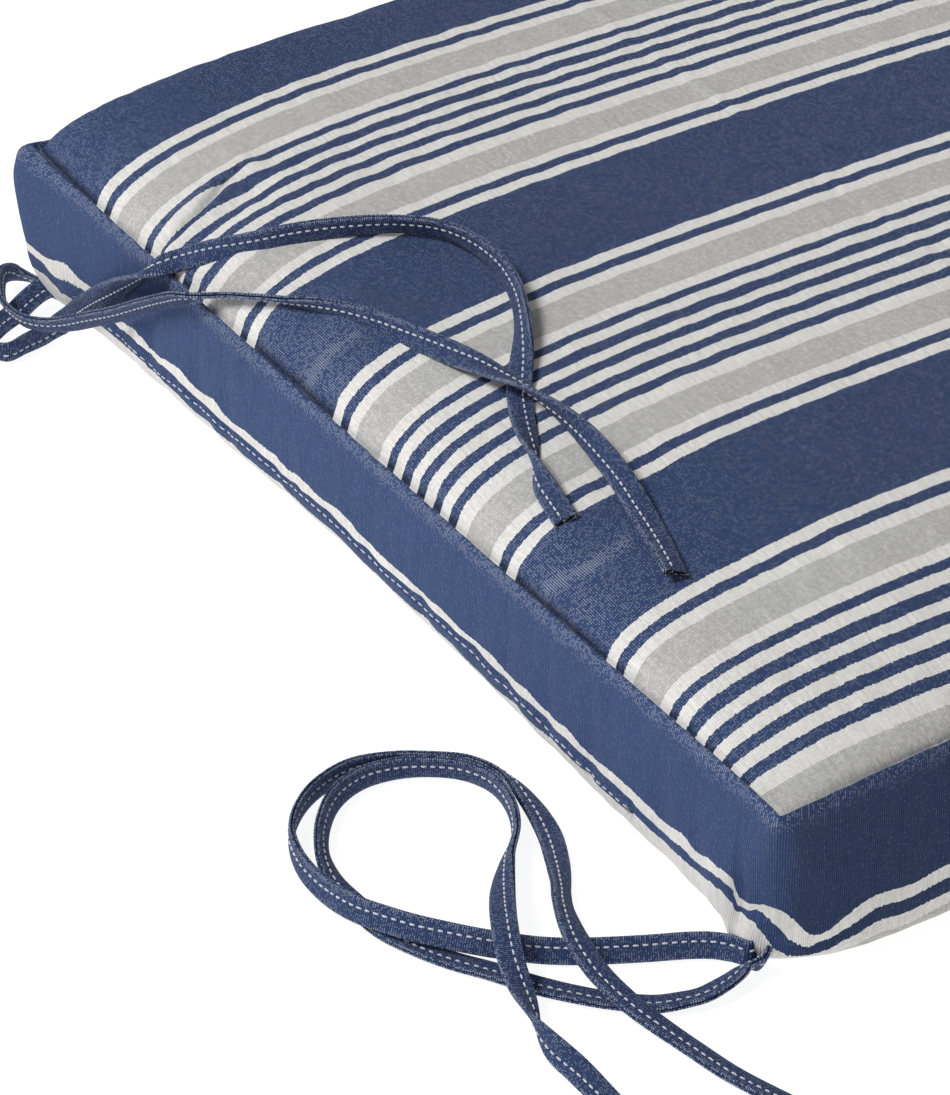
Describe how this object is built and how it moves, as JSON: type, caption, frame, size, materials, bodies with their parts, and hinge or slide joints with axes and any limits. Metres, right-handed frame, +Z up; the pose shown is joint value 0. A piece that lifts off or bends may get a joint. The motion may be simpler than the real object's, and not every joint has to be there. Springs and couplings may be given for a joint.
{
  "type": "adirondack chair cushion",
  "caption": "Boxed-edge striped seat cushion for a slatted garden chair, with a closed zip along its tied edge and flat cloth ties at that edge's corners.",
  "frame": {"origin": "centre of the cushion's underside, on the surface that it lies on", "axes": "+Z up, +X along the tied edge towards the corner with the loose ties on the floor, -Y towards the tied edge"},
  "size_m": [0.5927, 0.5963, 0.1167],
  "materials": {
    "striped_cloth": "matt heathered weave in navy, off-white and grey stripes",
    "navy_cloth": "matt navy weave with pale flecks",
    "tie_cloth": "matt navy weave, folded flat and topstitched in white"
  },
  "bodies": {
    "root": {"cushion": "striped_cloth", "zip_fold": "navy_cloth", "tie_left_upper": "tie_cloth", "tie_left_lower": "tie_cloth", "tie_right_outer": "tie_cloth", "tie_right_inner": "tie_cloth"}
  },
  "joints": []
}
